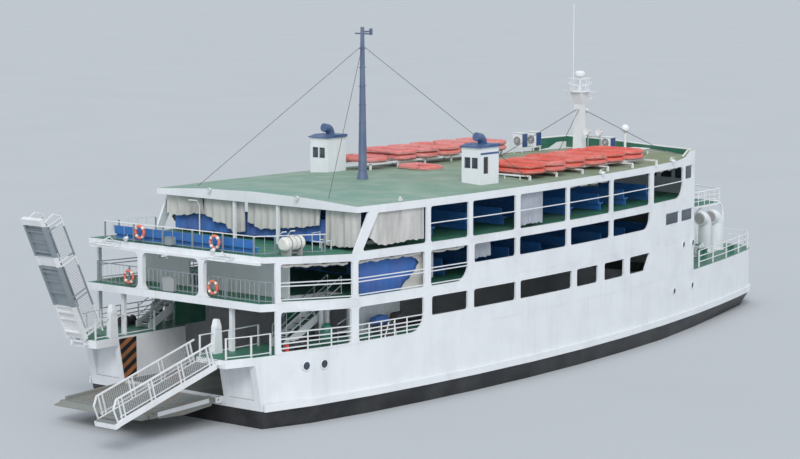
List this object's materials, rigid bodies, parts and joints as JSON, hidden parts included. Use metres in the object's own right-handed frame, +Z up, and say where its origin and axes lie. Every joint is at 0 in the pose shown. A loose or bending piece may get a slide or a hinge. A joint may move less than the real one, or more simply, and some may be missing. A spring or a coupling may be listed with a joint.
{
  "type": "passenger ferry, 1:2 scale model",
  "caption": "Roll-on roll-off passenger ferry with open side bays, stern vehicle ramp, two stern gangways, masts, funnel houses and stacked floats.",
  "frame": {"origin": "on the centreline at the waterline, halfway between transom and stem", "axes": "+X forward to the bow, +Y to port, +Z up"},
  "size_m": [30.3565, 7.53, 11.05],
  "materials": {
    "hull_paint": "semi-gloss white above, near black below the strake",
    "white_paint": "semi-gloss, lightly weathered",
    "rail_paint": "brushed enamel",
    "deck_paint": "matt deck paint",
    "roof_paint": "matt deck paint, faded",
    "funnel_paint": "semi-gloss",
    "mast_paint": "semi-gloss",
    "float_paint": "faded rubberised paint",
    "raft_shell": "moulded shell",
    "galvanised": "galvanised",
    "seat_plastic": "moulded",
    "canvas": "weathered canvas",
    "ramp_steel": "worn deck paint",
    "bronze": "cast, dulled",
    "hull_dark": "antifouling, matt"
  },
  "bodies": {
    "ship": {"hull": "hull_paint", "rubbing_strake": "white_paint", "front_wall": "white_paint", "bulkhead_deck_two": "white_paint", "aft_frame": "white_paint", "mast_radar": "white_paint", "radar_dome": "white_paint", "shell_lower_starboard": "white_paint", "shell_lower_port": "white_paint", "shell_middle_starboard": "white_paint", "shell_middle_port": "white_paint", "shell_upper_starboard": "white_paint", "shell_upper_port": "white_paint", "stair_lower_starboard": "white_paint", "stair_lower_port": "white_paint", "stair_upper_starboard": "white_paint", "stair_upper_port": "white_paint", "hoist_post_starboard": "white_paint", "hoist_post_port": "white_paint", "funnel_house_starboard": "white_paint", "funnel_house_port": "white_paint", "ventilator_aft": "white_paint", "ventilator_fore": "white_paint", "cooler_aft": "white_paint", "cooler_fore": "white_paint", "rail_deck_two": "rail_paint", "rail_deck_three": "rail_paint", "rail_forecastle": "rail_paint", "platform_rail_starboard": "rail_paint", "platform_rail_port": "rail_paint", "deck_two": "deck_paint", "deck_three": "deck_paint", "stern_platform_starboard": "deck_paint", "stern_platform_port": "deck_paint", "windlass": "deck_paint", "roof": "roof_paint", "funnel_hood_starboard": "funnel_paint", "funnel_hood_port": "funnel_paint", "mast_main": "mast_paint", "floats_starboard": "float_paint", "floats_port": "float_paint", "float_loose": "float_paint", "life_raft": "raft_shell", "raft_cradle": "galvanised", "benches_deck_two": "seat_plastic", "benches_deck_three": "seat_plastic", "bench_aft": "seat_plastic", "curtain_aft": "canvas", "curtain_side_starboard": "canvas", "curtain_side_port": "canvas", "shaft_bracket_starboard": "bronze", "shaft_bracket_port": "bronze"},
    "vehicle_ramp_body": {"vehicle_ramp": "ramp_steel"},
    "gangway_starboard_body": {"gangway_starboard": "rail_paint"},
    "gangway_port_body": {"gangway_port": "rail_paint"},
    "propeller_starboard_body": {"propeller_starboard": "bronze"},
    "propeller_port_body": {"propeller_port": "bronze"},
    "rudder_starboard_body": {"rudder_starboard": "hull_dark"},
    "rudder_port_body": {"rudder_port": "hull_dark"}
  },
  "joints": [
    {"name": "vehicle_ramp_hinge", "type": "hinge", "parent": "ship", "child": "vehicle_ramp_body", "pos_m": [-12.8, 0, 0.61], "axis": [0, 1, 0], "range_deg": [-7.25, 88.75]},
    {"name": "gangway_starboard_hinge", "type": "hinge", "parent": "ship", "child": "gangway_starboard_body", "pos_m": [-13.735, -2.275, 1.75], "axis": [0, 1, 0], "range_deg": [-6, 84]},
    {"name": "gangway_port_hinge", "type": "hinge", "parent": "ship", "child": "gangway_port_body", "pos_m": [-13.735, 2.275, 1.75], "axis": [0, 1, 0], "range_deg": [-87.6, 2.4]},
    {"name": "propeller_starboard_turn", "type": "hinge", "parent": "ship", "child": "propeller_starboard_body", "pos_m": [-11.2, -1.1, -0.85], "axis": [1, 0, 0], "continuous": true},
    {"name": "propeller_port_turn", "type": "hinge", "parent": "ship", "child": "propeller_port_body", "pos_m": [-11.2, 1.1, -0.85], "axis": [1, 0, 0], "continuous": true},
    {"name": "rudder_starboard_steer", "type": "hinge", "parent": "ship", "child": "rudder_starboard_body", "pos_m": [-11.8, -1.1, -0.8], "axis": [0, 0, 1], "range_deg": [-35, 35]},
    {"name": "rudder_port_steer", "type": "hinge", "parent": "ship", "child": "rudder_port_body", "pos_m": [-11.8, 1.1, -0.8], "axis": [0, 0, 1], "range_deg": [-35, 35]}
  ]
}
